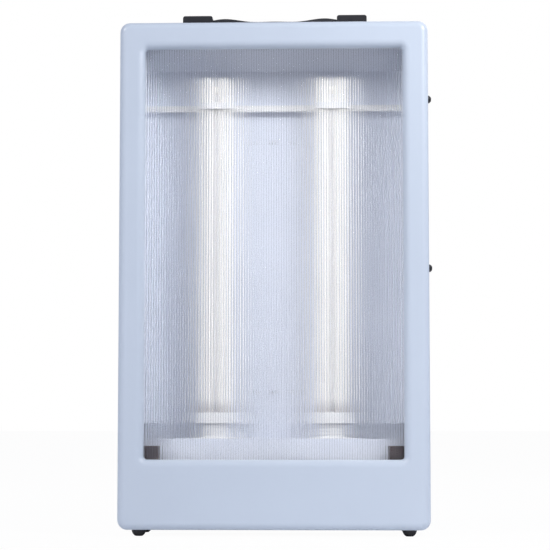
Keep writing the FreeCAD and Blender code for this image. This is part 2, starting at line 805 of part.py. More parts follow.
def chassis():
    """The folded steel tray behind the reflector, with side flanges for the side screws."""
    z0 = f"{bottom} + wallThick + chassisEnd"
    z1 = f"{top} - wallThick - chassisEnd"
    back = between(f"-{flangeX} - sheetThick", f"{flangeX} + sheetThick", chassisFront, chassisBack, z0, z1)
    folds = [between(x, f"{x} + sheetThick", f"{front} + flangeFrontInset", chassisBack, z0, z1)
             for x in (f"(-{flangeX} - sheetThick)", flangeX)]
    holes = [rod((f"-{innerX}", sideScrewY, z), "sideScrewRadius + screwGap", f"2 * {innerX}", "x")
             for z in screwLevels]
    for side in sides:
        holes.append(rod((f"{side} * lampSpacing / 2 + leadShift", f"{chassisFront} - toolReach", leadZ),
                         "grommetRadius - grommetLip", "sheetThick + 2 * toolReach", "y"))
        holes.append(rod((f"{side} * {bracketScrewX}", f"{chassisFront} - toolReach",
                          f"{shelf} + bracketScrewRise"),
                         "smallScrewRadius + screwGap / 2", "sheetThick + 2 * toolReach", "y"))
    keep(cut(fuse([back] + folds), holes), "chassis")
    rings = []
    for side in sides:
        x = f"{side} * lampSpacing / 2 + leadShift"
        body = rod((x, chassisFront, leadZ), "grommetRadius - grommetLip", "sheetThick", "y")
        flange = rod((x, chassisBack, leadZ), "grommetRadius", "grommetLip", "y")
        bore = rod((x, f"{chassisFront} - toolReach", leadZ), "leadRadius + screwGap / 2",
                   "sheetThick + grommetLip + 2 * toolReach", "y")
        rings.append(cut(fuse([body, flange]), [bore]))
    group(rings, "wire_grommets")


def reflector():
    """The white tray round the lamps, closed above by a slanted plate."""
    half = reflectorHalf
    z1 = f"{windowTop} + reflectorTopGap"
    y0 = f"{panelBack} + reflectorPanelGap"
    back = between(f"-{half}", half, reflectorFace, chassisFront, bracketTop, z1)
    walls = [between(x, f"{x} + reflectorThick", y0, chassisFront, bracketTop, z1)
             for x in (f"(-{half})", f"({half} - reflectorThick)")]
    keep(fuse([back] + walls), "reflector")
    rise = amount("endPlateRise")
    thick = amount("reflectorThick")
    yBack = amount(f"{reflectorFace}")
    yFront = amount(y0)
    zTop = amount(z1)
    run = yBack - yFront
    lift = thick * math.hypot(run, rise) / run
    x0 = amount(f"-{half} + reflectorThick")
    points = [(yBack, zTop - rise), (yFront, zTop - lift), (yFront, zTop), (yBack, zTop - rise + lift)]
    corners = [Vector(x0, y, z) for y, z in points]
    face = Part.Face(Part.makePolygon(corners + corners[:1]))
    solid(face.extrude(Vector(-2 * x0, 0, 0)), "reflector_end_plate")
    rivets = [rod(("0", f"{reflectorFace} - smallHeadRise", z), "smallHeadRadius", "smallHeadRise", "y")
              for z in (f"{bracketTop} + rivetInset", f"{barLow} - rivetInset")]
    group(rivets, "reflector_rivets")


def stadium(x, y, halfWidth, radius, low, height):
    """A long round-ended bar standing upright."""
    middle = block((f"{x} - {halfWidth}", f"{y} - {radius}", low), (f"2 * {halfWidth}", f"2 * {radius}", height))
    ends = [rod((f"{x} + {s} * {halfWidth}", y, low), radius, height) for s in sides]
    return fuse([middle] + ends)


def lamps():
    """Two long twin-tube lamps, each with its cap, pins and holder."""
    pins = []
    holderScrews = []
    bands = []
    for side, word in zip(sides, ("left", "right")):
        x = f"({side} * lampSpacing / 2)"
        tubes = []
        straight = f"{lampTop} - tubeRadius - {tubeLow}"
        for s in sides:
            tubeX = f"{x} + {s} * tubeSpacing / 2"
            tubes.append(rod((tubeX, lampY, tubeLow), "tubeRadius", straight))
            tubes.append(ball((tubeX, lampY, f"{lampTop} - tubeRadius"), "tubeRadius"))
        tubes.append(rod((f"{x} - tubeSpacing / 2", lampY, f"{lampTop} - bridgeDrop"), "bridgeRadius",
                         "tubeSpacing", "x"))
        keep(fuse(tubes), f"lamp_tube_{word}")
        collar = rounded(block((f"{x} - collarWidth / 2", f"{lampY} - collarDepth / 2", collarLow),
                               ("collarWidth", "collarDepth", "collarHeight")), "collarCorner", along("z"))
        neck = block((f"{x} - neckWidth / 2", f"{lampY} - neckDepth / 2", holderTop),
                     ("neckWidth", "neckDepth", "neckHeight"))
        rings = []
        for i in range(3):
            z = f"{holderTop} + grooveRise + {i} * groovePitch"
            whole = block((f"{x} - neckWidth", f"{lampY} - neckDepth", z),
                          ("2 * neckWidth", "2 * neckDepth", "grooveHeight"))
            core = block((f"{x} - neckWidth / 2 + neckGroove", f"{lampY} - neckDepth / 2 + neckGroove",
                          f"{z} - toolReach"),
                         ("neckWidth - 2 * neckGroove", "neckDepth - 2 * neckGroove",
                          "grooveHeight + 2 * toolReach"))
            rings.append(cut(whole, [core]))
        keep(cut(fuse([collar, neck]), rings), f"lamp_cap_{word}")
        base = block((f"{x} - holderWidth / 2", f"{lampY} - holderDepth / 2", shelf),
                     ("holderWidth", "holderDepth", "holderHeight"))
        sockets = []
        for k in (-1.5, -0.5, 0.5, 1.5):
            pinX = f"{x} + {k} * pinPitch"
            pins.append(rod((pinX, lampY, f"{holderTop} - pinLength"), "pinRadius", "pinLength"))
            sockets.append(rod((pinX, lampY, f"{holderTop} - pinLength - toolReach"), "pinRadius + screwGap",
                               "pinLength + 2 * toolReach"))
        for s in sides:
            screwX = f"{x} + {s} * (holderWidth / 2 - holderScrewInset)"
            sockets.append(rod((screwX, lampY, f"{shelf} - toolReach"), "holderScrewRadius + threadGap",
                               "holderScrewLength + toolReach"))
            holderScrews.append(screw(screwX, lampY, f"{shelf} - sheetThick", "z", 1, "smallHeadRadius",
                                      "smallHeadRise", "holderScrewRadius", "holderScrewLength"))
        keep(cut(base, sockets), f"lamp_holder_{word}")
        outer = stadium(x, lampY, "(tubeSpacing / 2)", "(tubeRadius + fitGap + bandThick)", barLow,
                        "barHeight")
        inner = stadium(x, lampY, "(tubeSpacing / 2)", "(tubeRadius + fitGap)", f"{barLow} - toolReach",
                        "(barHeight + 2 * toolReach)")
        bands.append(cut(outer, [inner]))
    group(pins, "lamp_pins")
    group(holderScrews, "holder_screws")
    group(bands, "lamp_clips")
    reach = f"({reflectorHalf} - reflectorThick)"
    keep(between(f"-{reach}", reach, barFront, f"{barFront} + barThick", barLow, f"{barLow} + barHeight"),
         "lamp_support_bar")


def holderBracket():
    """The white channel that carries the lamp holders: back leg, shelf and front apron."""
    reach = f"({flangeX} - fitGap)"
    apronY = f"({lampY} - holderDepth / 2 - apronGap)"
    low = f"{shelf} - sheetThick"
    back = between(f"-{reach}", reach, f"{chassisFront} - sheetThick", chassisFront, low, bracketTop)
    floor = between(f"-{reach}", reach, apronY, chassisFront, low, shelf)
    apron = between(f"-{reach}", reach, apronY, f"{apronY} + sheetThick", low, f"{shelf} + apronHeight")
    holes = []
    heads = []
    for side in sides:
        for s in sides:
            screwX = f"{side} * lampSpacing / 2 + {s} * (holderWidth / 2 - holderScrewInset)"
            holes.append(rod((screwX, lampY, f"{low} - toolReach"), "holderScrewRadius + screwGap / 2",
                             "sheetThick + 2 * toolReach"))
        holes.append(rod((f"{side} * lampSpacing / 2 + leadShift",
                          f"{chassisFront} - sheetThick - toolReach", leadZ), "leadRadius + leadHoleGap",
                         "sheetThick + 2 * toolReach", "y"))
        z = f"{shelf} + bracketScrewRise"
        heads.append(screw(f"{side} * {bracketScrewX}", f"{chassisFront} - sheetThick", z, "y", 1,
                           "smallHeadRadius", "smallHeadRise", "smallScrewRadius", "bracketScrewLength"))
        holes.append(rod((f"{side} * {bracketScrewX}", f"{chassisFront} - sheetThick - toolReach", z),
                         "smallScrewRadius + screwGap / 2", "sheetThick + 2 * toolReach", "y"))
    keep(cut(fuse([back, floor, apron]), holes), "holder_bracket")
    group(heads, "bracket_screws")


def ballast():
    """The electronic ballast on the chassis's back, with its terminal blocks and screws."""
    x0 = "(ballastShift - ballastWidth / 2)"
    z0 = f"({bottom} + ballastRise)"
    z1 = f"({top} - ballastHeadroom)"
    body = between(x0, f"{x0} + ballastWidth", chassisBack, f"{chassisBack} + ballastDepth", z0, z1)
    ears = []
    screws = []
    holes = []
    for low, mid in ((f"{z0} - ballastEar", f"{z0} - ballastEar / 2"),
                     (z1, f"{z1} + ballastEar / 2")):
        ears.append(block((x0, chassisBack, low), ("ballastWidth", "sheetThick", "ballastEar")))
        holes.append(rod(("ballastShift", f"{chassisBack} - toolReach", mid), "smallScrewRadius + screwGap / 2",
                         "sheetThick + 2 * toolReach", "y"))
        screws.append(screw("ballastShift", f"{chassisBack} + sheetThick", mid, "y", -1, "smallHeadRadius",
                            "smallHeadRise", "smallScrewRadius", "sheetThick"))
    keep(cut(fuse([body] + ears), holes), "ballast_case")
    group(screws, "ballast_screws")
    blocks = []
    for z in (f"{z0} - ballastEar - terminalGap - terminalLength", f"{z1} + ballastEar + terminalGap"):
        blocks.append(block((f"{x0} + terminalInset", chassisBack, z),
                            ("ballastWidth - 2 * terminalInset", "terminalDepth", "terminalLength")))
    group(blocks, "ballast_terminals")


def standoffs():
    """Round spacers between chassis and rear cover, and the cover's sunk screws."""
    spacers = []
    screws = []
    for side, z in coverSpots:
        x = f"{side} * {coverX}"
        body = rod((x, chassisBack, z), "standoffRadius", f"{coverInner} - {chassisBack}", "y")
        bore = rod((x, f"{coverInner} - coverScrewLength", z), "coverScrewRadius + threadGap",
                   "coverScrewLength + toolReach", "y")
        spacers.append(cut(body, [bore]))
        screws.append(screw(x, f"{rear} - coverScrewSink", z, "y", -1, "coverScrewHead", "coverScrewSink",
                            "coverScrewRadius", "coverScrewLength - coverScrewSink"))
    group(spacers, "rear_standoffs")
    group(screws, "rear_cover_screws")


def inlet():
    """The mains inlet with its blades, and the fuse drawer that slides out beside the socket."""
    socketX = f"({inletX} - socketShift)"
    drawerX = f"({inletX} + drawerShift)"
    flange = block((f"{inletX} - inletFlangeWidth / 2", recessFloor, f"{recessMid} - inletFlangeHeight / 2"),
                   ("inletFlangeWidth", "inletFlangeThick", "inletFlangeHeight"))
    body = block((f"{inletX} - inletBodyWidth / 2", inletFront, f"{recessMid} - inletBodyHeight / 2"),
                 ("inletBodyWidth", "inletBodyDepth", "inletBodyHeight"))
    socket = block((f"{socketX} - socketWidth / 2", f"{inletFace} - socketDepth",
                    f"{recessMid} - socketHeight / 2"),
                   ("socketWidth", "socketDepth + toolReach", "socketHeight"))
    slot = block((f"{drawerX} - drawerWidth / 2 - drawerGap", f"{inletFace} - drawerDepth - drawerGap",
                  f"{recessMid} - drawerHeight / 2 - drawerGap"),
                 ("drawerWidth + 2 * drawerGap", "drawerDepth + drawerGap + toolReach",
                  "drawerHeight + 2 * drawerGap"))
    blades = []
    slits = []
    for dx, dz in (("-bladeSpread", "-bladeRise"), ("bladeSpread", "-bladeRise"), ("0", "bladeRise")):
        low = (f"{socketX} + {dx} - bladeThick / 2", f"{inletFront} - tabLength",
               f"{recessMid} + {dz} - bladeWidth / 2")
        length = f"tabLength + inletBodyDepth + inletFlangeThick - socketDepth + bladeLength"
        blades.append(block(low, ("bladeThick", length, "bladeWidth")))
        slits.append(block(low, ("bladeThick", length, "bladeWidth")))
    keep(cut(fuse([flange, body]), [socket, slot] + slits), "power_inlet")
    group(blades, "inlet_blades")
    case = block((f"{drawerX} - drawerWidth / 2", f"{inletFace} - drawerDepth",
                  f"{recessMid} - drawerHeight / 2"),
                 ("drawerWidth", "drawerDepth", "drawerHeight"))
    lip = block((f"{drawerX} - drawerWidth / 2", inletFace,
                 f"{recessMid} + drawerHeight / 2 - drawerLipHeight"),
                ("drawerWidth", "drawerLipThick", "drawerLipHeight"))
    fuseY = f"({inletFace} - drawerDepth + fuseInset)"
    nest = block((f"{drawerX} - fuseRadius - fuseGap", f"{fuseY} - fuseRadius - fuseGap",
                  f"{recessMid} - fuseLength / 2 - fuseGap"),
                 ("2 * fuseRadius + drawerWidth", "2 * fuseRadius + 2 * fuseGap", "fuseLength + 2 * fuseGap"))
    keep(cut(fuse([case, lip]), [nest]), "fuse_drawer")
    keep(rod((drawerX, fuseY, f"{recessMid} - fuseLength / 2"), "fuseRadius", "fuseLength"), "fuse")


def rockerSwitch():
    """The mains switch: a frame in the recess and a rocker that rests tilted on two side pins."""
    flange = block((f"{switchX} - switchFlangeWidth / 2", recessFloor, f"{recessMid} - switchFlangeHeight / 2"),
                   ("switchFlangeWidth", "switchFlangeThick", "switchFlangeHeight"))
    body = block((f"{switchX} - switchBodyWidth / 2", f"{recessFloor} - switchBodyDepth",
                  f"{recessMid} - switchBodyHeight / 2"),
                 ("switchBodyWidth", "switchBodyDepth", "switchBodyHeight"))
    halfHole = "(rockerWidth / 2 + rockerGap)"
    well = block((f"{switchX} - {halfHole}", f"{pivotY} - rockerRadius - wellGap",
                  f"{recessMid} - rockerRadius - rockerGap"),
                 (f"2 * {halfHole}", "2 * rockerRadius", "2 * (rockerRadius + rockerGap)"))
    pinHole = rod((f"{switchX} - {halfHole} - rockerPinLength - pinEndGap", pivotY, recessMid),
                  "rockerPin + pinClearance", f"2 * ({halfHole} + rockerPinLength + pinEndGap)", "x")
    keep(cut(fuse([flange, body]), [well, pinHole]), "switch_frame")
    radius = amount("rockerRadius")
    crown = amount("rockerSink + rockerCrown")
    dip = amount("rockerSink + rockerDip")
    half = amount("rockerWidth / 2")
    span = math.sqrt(radius ** 2 - crown ** 2)
    low = amount("-rockerSink")
    back = math.sqrt(radius ** 2 - low ** 2)
    outline = [
        Part.makeLine(Vector(-half, crown, -span), Vector(-half, dip, 0)),
        Part.makeLine(Vector(-half, dip, 0), Vector(-half, crown, span)),
        Part.Arc(Vector(-half, crown, span), Vector(-half, 0, radius), Vector(-half, low, back)).toShape(),
        Part.makeLine(Vector(-half, low, back), Vector(-half, low, -back)),
        Part.Arc(Vector(-half, low, -back), Vector(-half, 0, -radius), Vector(-half, crown, -span)).toShape(),
    ]
    paddle = Part.Face(Part.Wire(outline)).extrude(Vector(2 * half, 0, 0))
    pinReach = amount(f"{halfHole} + rockerPinLength")
    pin = Part.makeCylinder(amount("rockerPin"), 2 * pinReach, Vector(-pinReach, 0, 0), Vector(1, 0, 0))
    made = solid(paddle.fuse(pin).removeSplitter(), "switch_rocker")
    middle = Vector(amount(switchX), amount(pivotY), amount(recessMid))
    made.Placement = FreeCAD.Placement(middle, FreeCAD.Rotation(Vector(1, 0, 0), -amount("rockerTilt")))
    tabs = []
    for row in (-1, 1):
        for s in sides:
            tabs.append(block((f"{switchX} + {s} * tabSpread - tabThick / 2",
                               f"{recessFloor} - switchBodyDepth - tabLength",
                               f"{recessMid} + {row} * tabRise - tabWidth / 2"),
                              ("tabThick", "tabLength", "tabWidth")))
    group(tabs, "switch_tabs")


def handle():
    """The carrying strap on the case's top: two end caps and a springy strap that rises in them."""
    screws = []
    plates = []
    for side, word in zip(sides, ("left", "right")):
        middle = f"({side} * {capMid})"
        x0 = f"{middle} - capLength / 2"
        shell = rounded(block((x0, "-capWidth / 2", top), ("capLength", "capWidth", capHeight)),
                        "capRound", inPlane("z", f"{top} + {capHeight}"))
        roomX = f"{x0} - toolReach" if side > 0 else f"{x0} + capSide"
        room = block((roomX, "-strapWidth / 2 - fitGap", f"{top} - toolReach"),
                     ("capLength - capSide + toolReach", "strapWidth + 2 * fitGap",
                      f"{capHeight} - capRoof + toolReach"))
        post = rod((middle, "0", top), "postRadius", f"{capHeight} - capRoof / 2")
        hollowed = fuse([cut(shell, [room]), post])
        bore = rod((middle, "0", f"{top} - toolReach"), "handleScrewRadius + screwGap / 2",
                   f"{capHeight} + 2 * toolReach")
        seatZ = f"{top} + {capHeight} - handleScrewSink"
        sink = rod((middle, "0", seatZ), "handleScrewHead + screwGap", capHeight)
        keep(cut(hollowed, [bore, sink]), f"handle_cap_{word}")
        screws.append(screw(middle, "0", seatZ, "z", -1, "handleScrewHead", "handleScrewRise",
                            "handleScrewRadius", f"{capHeight} - handleScrewSink + wallThick + backingThick"))
        plateZ = f"{top} - wallThick - backingThick"
        plate = block((f"{middle} - backingLength / 2", "-backingWidth / 2", plateZ),
                      ("backingLength", "backingWidth", "backingThick"))
        hole = rod((middle, "0", f"{plateZ} - toolReach"), "handleScrewRadius + screwGap / 2",
                   "backingThick + 2 * toolReach")
        plates.append(cut(plate, [hole]))
    group(screws, "handle_screws")
    group(plates, "handle_backing_plates")
    z = amount(top)
    end = amount("handleSpan / 2 - capSide - fitGap")
    mouth = amount("handleSpan / 2 - capLength")
    thick = amount("strapThick")
    rises = [("strapEndRise", end), ("strapEndRise", mouth + amount("strapEndRun")),
             ("strapArchRise", mouth - amount("strapArchRun")), ("strapMidRise", mouth - amount("strapMidRun")),
             ("strapMidRise", 0)]
    half = [Vector(x, 0, z + amount(rise)) for rise, x in rises]
    lower = [Vector(-p.x, 0, p.z) for p in half] + half[-2::-1]
    upper = [p + Vector(0, 0, thick) for p in lower]
    curves = []
    for line in (lower, upper):
        spline = Part.BSplineCurve()
        spline.interpolate(line)
        curves.append(spline.toShape())
    caps = [Part.makeLine(lower[0], upper[0]), Part.makeLine(lower[-1], upper[-1])]
    face = Part.Face(Part.Wire(Part.__sortEdges__(curves + caps)))
    width = amount("strapWidth")
    strap = face.extrude(Vector(0, width, 0))
    strap.translate(Vector(0, -width / 2, 0))
    slotRadius = amount("postRadius + fitGap")
    slotHalf = amount("strapSlot / 2") - slotRadius
    for side in sides:
        x = side * amount(capMid)
        tool = Part.makeBox(2 * slotHalf, 2 * slotRadius, 3 * thick, Vector(x - slotHalf, -slotRadius, z))
        for s in sides:
            tool = tool.fuse(Part.makeCylinder(slotRadius, 3 * thick, Vector(x + s * slotHalf, 0, z)))
        strap = strap.cut(tool)
    solid(strap, "handle_strap")


def wireAlong(points, radius):
    """A wire along straight runs joined by tangent arcs."""
    bend = amount("wireBend")
    spots = [Vector(*[amount(text) for text in point]) for point in points]
    edges = []
    start = spots[0]
    for before, corner, after in zip(spots, spots[1:], spots[2:]):
        back = (before - corner).normalize()
        ahead = (after - corner).normalize()
        turn = math.pi - back.getAngle(ahead)
        if turn < 0.01:
            continue
        room = 0.45 * min((before - corner).Length, (after - corner).Length)
        reach = min(bend * math.tan(turn / 2), room)
        first = corner + back * reach
        last = corner + ahead * reach
        inner = (back + ahead).normalize()
        arcRadius = reach / math.tan(turn / 2)
        middle = corner + inner * (arcRadius / math.cos(turn / 2) - arcRadius)
        edges.append(Part.makeLine(start, first))
        edges.append(Part.Arc(first, middle, last).toShape())
        start = last
    edges.append(Part.makeLine(start, spots[-1]))
    path = Part.Wire(edges)
    size = amount(radius)
    section = Part.Wire(Part.makeCircle(size, spots[0], spots[1] - spots[0]))
    tube = path.makePipeShell([section], True, True)
    expected = math.pi * size ** 2 * path.Length
    if abs(tube.Volume - expected) > 0.01 * expected:
        raise ValueError("a wire's volume doesn't match its length")
    return tube


def wiring():
    """Mains wires from inlet to switch and ballast, the earth wire, and the leads to the lamp holders."""
    tabY = f"{inletFront} - tabLength"
    switchTabY = f"{recessFloor} - switchBodyDepth - tabLength"
    socketX = f"({inletX} - socketShift)"
    terminalZ = f"({bottom} + ballastRise - ballastEar - terminalLength - terminalGap)"
    deepLane = f"({chassisBack} + wireLane)"
    nearLane = f"({deepLane} + wireLane)"
    leadLane = f"({nearLane} + wireLane)"
    for label, blade, row, lane, position, turnRise in (
            ("live_wires", "-bladeSpread", -1, nearLane, "wireEntryOuter", "liveTurnRise"),
            ("neutral_wires", "bladeSpread", 1, deepLane, "wireEntryInner", "neutralTurnRise")):
        x = f"{socketX} + {blade}"
        bladeZ = f"{recessMid} - bladeRise"
        tabZ = f"{recessMid} + {row} * tabRise"
        entry = f"ballastShift - {position}"
        turnZ = f"{tabZ} + {turnRise}"
        toSwitch = wireAlong([(x, tabY, bladeZ), (x, lane, bladeZ), (f"{x} + tabRise", lane, tabZ),
                              (f"{switchX} - tabSpread", lane, tabZ),
                              (f"{switchX} - tabSpread", switchTabY, tabZ)], "wireRadius")
        toBallast = wireAlong([(f"{switchX} + tabSpread", switchTabY, tabZ),
                               (f"{switchX} + tabSpread", lane, tabZ),
                               (entry, lane, turnZ), (entry, deepLane, f"{turnZ} + laneShiftRise"),
                               (entry, deepLane, terminalZ)], "wireRadius")
        solid(Part.makeCompound([toSwitch, toBallast]), label)
    studX = f"({inletX} + studShift)"
    studZ = f"({recessMid} + studShift)"
    keep(fuse([rod((studX, chassisBack, studZ), "studRadius", "studLength", "y"),
               rod((studX, chassisBack, studZ), "studNutRadius", "studNutThick", "y")]), "earth_stud")
    bladeZ = f"{recessMid} + bladeRise"
    solid(wireAlong([(socketX, tabY, bladeZ), (socketX, nearLane, bladeZ), (socketX, nearLane, studZ),
                     (f"{studX} - studRadius - screwGap / 2",
                      f"{chassisBack} + studNutThick + wireRadius", studZ)], "wireRadius"), "earth_wire")
    leads = []
    for side, position in ((-1, "wireEntryInner"), (1, "wireEntryOuter")):
        x = f"({side} * lampSpacing / 2 + leadShift)"
        entry = f"ballastShift + {position}"
        leads.append(wireAlong([(x, f"{lampY} + holderDepth / 2", leadZ), (x, leadLane, leadZ),
                                (x, leadLane, f"{leadZ} + leadTurnRise"),
                                (entry, leadLane, f"{leadZ} + leadTurnRise + leadRunRise"),
                                (entry, leadLane, terminalZ)], "leadRadius"))
    solid(Part.makeCompound(leads), "lamp_leads")


frontHousing()
rearCover()
sideScrews()
feet()
diffuser()
chassis()
reflector()
lamps()
holderBracket()
ballast()
standoffs()
inlet()
rockerSwitch()
handle()
wiring()
doc.recompute()

problems = []
for thing in doc.Objects:
    if "Invalid" in thing.State or "Error" in thing.State:
        problems.append(f"{thing.Label}: {thing.State}")
for node in nodes:
    if node.Shape.isNull() or not node.Shape.isValid():
        problems.append(f"{node.Label}: shape is null or not valid")
if problems:
    raise ValueError("; ".join(problems))

os.makedirs("parts", exist_ok=True)
for node in nodes:
    node.Shape.exportStep(f"parts/{node.Label}.step")
print(len(nodes), "sub-parts,", sum(len(node.Shape.Solids) for node in nodes), "solids")
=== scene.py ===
# Light therapy lamp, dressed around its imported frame. Metres, +Z up, the window faces -Y.
import json
import math

import bpy
from mathutils import Matrix, Vector


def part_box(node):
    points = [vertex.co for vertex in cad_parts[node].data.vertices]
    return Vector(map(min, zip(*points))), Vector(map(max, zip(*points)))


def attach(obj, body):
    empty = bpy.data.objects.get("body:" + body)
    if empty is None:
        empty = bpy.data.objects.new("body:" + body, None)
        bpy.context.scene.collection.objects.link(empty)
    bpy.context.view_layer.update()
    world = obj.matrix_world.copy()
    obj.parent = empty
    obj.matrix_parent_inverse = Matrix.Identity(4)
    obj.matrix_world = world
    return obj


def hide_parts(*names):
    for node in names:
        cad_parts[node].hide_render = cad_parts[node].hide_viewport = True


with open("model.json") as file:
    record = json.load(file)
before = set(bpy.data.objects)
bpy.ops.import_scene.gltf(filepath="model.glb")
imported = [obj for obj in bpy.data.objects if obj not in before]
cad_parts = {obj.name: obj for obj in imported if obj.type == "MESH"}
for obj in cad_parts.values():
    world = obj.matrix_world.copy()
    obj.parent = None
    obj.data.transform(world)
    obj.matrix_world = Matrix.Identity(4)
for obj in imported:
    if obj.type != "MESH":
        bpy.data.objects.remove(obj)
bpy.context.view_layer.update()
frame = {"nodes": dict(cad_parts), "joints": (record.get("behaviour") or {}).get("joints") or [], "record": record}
nodes = frame["nodes"]
print("frame loaded:", len(nodes), "nodes")


# materials

def startMaterial(name, color, roughness, metallic=0.0):
    material = bpy.data.materials.new(name)
    material.use_nodes = True
    tree = material.node_tree
    shader = tree.nodes["Principled BSDF"]
    shader.inputs["Base Color"].default_value = (*color, 1)
    shader.inputs["Roughness"].default_value = roughness
    shader.inputs["Metallic"].default_value = metallic
    return material, tree, shader


def addNode(tree, kind, **values):
    node = tree.nodes.new(kind)
    for key, value in values.items():
        setattr(node, key, value)
    return node


def objectPlace(tree, stretch=(1, 1, 1)):
    # object coordinates, stretched along an axis for brushed or drawn grain
    place = addNode(tree, "ShaderNodeTexCoord")
    mapping = addNode(tree, "ShaderNodeMapping")
    mapping.inputs["Scale"].default_value = stretch
    tree.links.new(place.outputs["Object"], mapping.inputs["Vector"])
    return mapping.outputs["Vector"]


def splitPlace(tree, place):
    split = addNode(tree, "ShaderNodeSeparateXYZ")
    tree.links.new(place, split.inputs["Vector"])
    return split.outputs


def calculate(tree, operation, first, second):
    node = addNode(tree, "ShaderNodeMath", operation=operation)
    tree.links.new(first, node.inputs[0])
    if isinstance(second, float):
        node.inputs[1].default_value = second
    else:
        tree.links.new(second, node.inputs[1])
    return node.outputs["Value"]


def noise(tree, place, scale, detail=3.0):
    texture = addNode(tree, "ShaderNodeTexNoise")
    texture.inputs["Scale"].default_value = scale
    texture.inputs["Detail"].default_value = detail
    tree.links.new(place, texture.inputs["Vector"])
    return texture.outputs["Fac"]


def fourValues(value):  # a colour or a single level, as the color ramp wants it
    return (*value, 1) if isinstance(value, tuple) else (value, value, value, 1)


def ramp(tree, factor, low, high, start=0.3, stop=0.7):
    node = addNode(tree, "ShaderNodeValToRGB")
    for element, position, value in zip(node.color_ramp.elements, (start, stop), (low, high)):
        element.position = position
        element.color = fourValues(value)
    tree.links.new(factor, node.inputs["Fac"])
    return node.outputs["Color"]


def bump(tree, shader, height, strength, distance):
    node = addNode(tree, "ShaderNodeBump")
    node.inputs["Strength"].default_value = strength
    node.inputs["Distance"].default_value = distance
    tree.links.new(height, node.inputs["Height"])
    tree.links.new(node.outputs["Normal"], shader.inputs["Normal"])


def mixShaders(tree, factor, usual, other, ending):
    mixed = addNode(tree, "ShaderNodeMixShader")
    tree.links.new(factor, mixed.inputs["Fac"])
    tree.links.new(usual, mixed.inputs[1])
    tree.links.new(other, mixed.inputs[2])
    tree.links.new(mixed.outputs["Shader"], tree.nodes[ending].inputs["Surface"])


def rayKind(tree, kind):
    return addNode(tree, "ShaderNodeLightPath").outputs[kind]


def shade(color, change):
    return tuple(min(1.0, part * change) for part in color)


def surface(name, color, roughness, metallic=0.0, cloud=(8, 0.03), grain=(900, 0.1, 0.0002), wear=0.08,
            stretch=(1, 1, 1)):
    # color drifts in soft clouds, roughness varies a little, and a fine grain stands up as bump
    cloudScale, drift = cloud
    grainScale, grainStrength, grainHeight = grain
    material, tree, shader = startMaterial(name, color, roughness, metallic)
    clouds = noise(tree, objectPlace(tree), cloudScale, detail=4.0)
    tree.links.new(ramp(tree, clouds, shade(color, 1 - drift), shade(color, 1 + drift)),
                   shader.inputs["Base Color"])
    drawn = objectPlace(tree, stretch)
    rubWidth = 12  # rubbed patches, in widths of the grain
    rub = noise(tree, drawn, grainScale / rubWidth)
    tree.links.new(ramp(tree, rub, max(0.02, roughness - wear), min(1.0, roughness + wear)),
                   shader.inputs["Roughness"])
    bump(tree, shader, noise(tree, drawn, grainScale, detail=2.0), grainStrength, grainHeight)
    return material


def casePaint():
    look = {"color": (0.60, 0.675, 0.765), "roughness": 0.34, "wear": 0.05, "cloud": (5, 0.02),
            "grain": (650, 0.08, 0.0003), "coat": 0.25, "coatRoughness": 0.22}
    material = surface("casePaint", look["color"], look["roughness"], cloud=look["cloud"],
                       grain=look["grain"], wear=look["wear"])
    shader = material.node_tree.nodes["Principled BSDF"]
    shader.inputs["Coat Weight"].default_value = look["coat"]
    shader.inputs["Coat Roughness"].default_value = look["coatRoughness"]
    return material


def lampPhosphor():
    # cream phosphor under clear glass, greyed at both ends of the tubes
    look = {"cream": (0.95, 0.93, 0.89), "grey": (0.55, 0.53, 0.52), "roughness": 0.12, "fade": 0.018,
            "coat": 0.6, "coatRoughness": 0.04, "ripple": 300, "rippleStrength": 0.04, "rippleHeight": 0.0002}
    material, tree, shader = startMaterial("lampPhosphor", look["cream"], look["roughness"])
    low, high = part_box("lamp_tube_left")
    place = addNode(tree, "ShaderNodeTexCoord").outputs["Object"]
    level = splitPlace(tree, place)["Z"]
    fade = look["fade"]
    ends = []
    for start, stop in ((low.z + fade, low.z), (high.z - fade / 2, high.z + fade)):
        band = addNode(tree, "ShaderNodeMapRange", interpolation_type="SMOOTHSTEP")
        band.inputs["From Min"].default_value = start
        band.inputs["From Max"].default_value = stop
        tree.links.new(level, band.inputs["Value"])
        ends.append(band.outputs["Result"])
    both = calculate(tree, "MAXIMUM", ends[0], ends[1])
    tree.links.new(ramp(tree, both, look["cream"], look["grey"], 0.0, 1.0), shader.inputs["Base Color"])
    shader.inputs["Coat Weight"].default_value = look["coat"]
    shader.inputs["Coat Roughness"].default_value = look["coatRoughness"]
    ripple = noise(tree, place, look["ripple"], detail=2.0)
    bump(tree, shader, ripple, look["rippleStrength"], look["rippleHeight"])
    return material


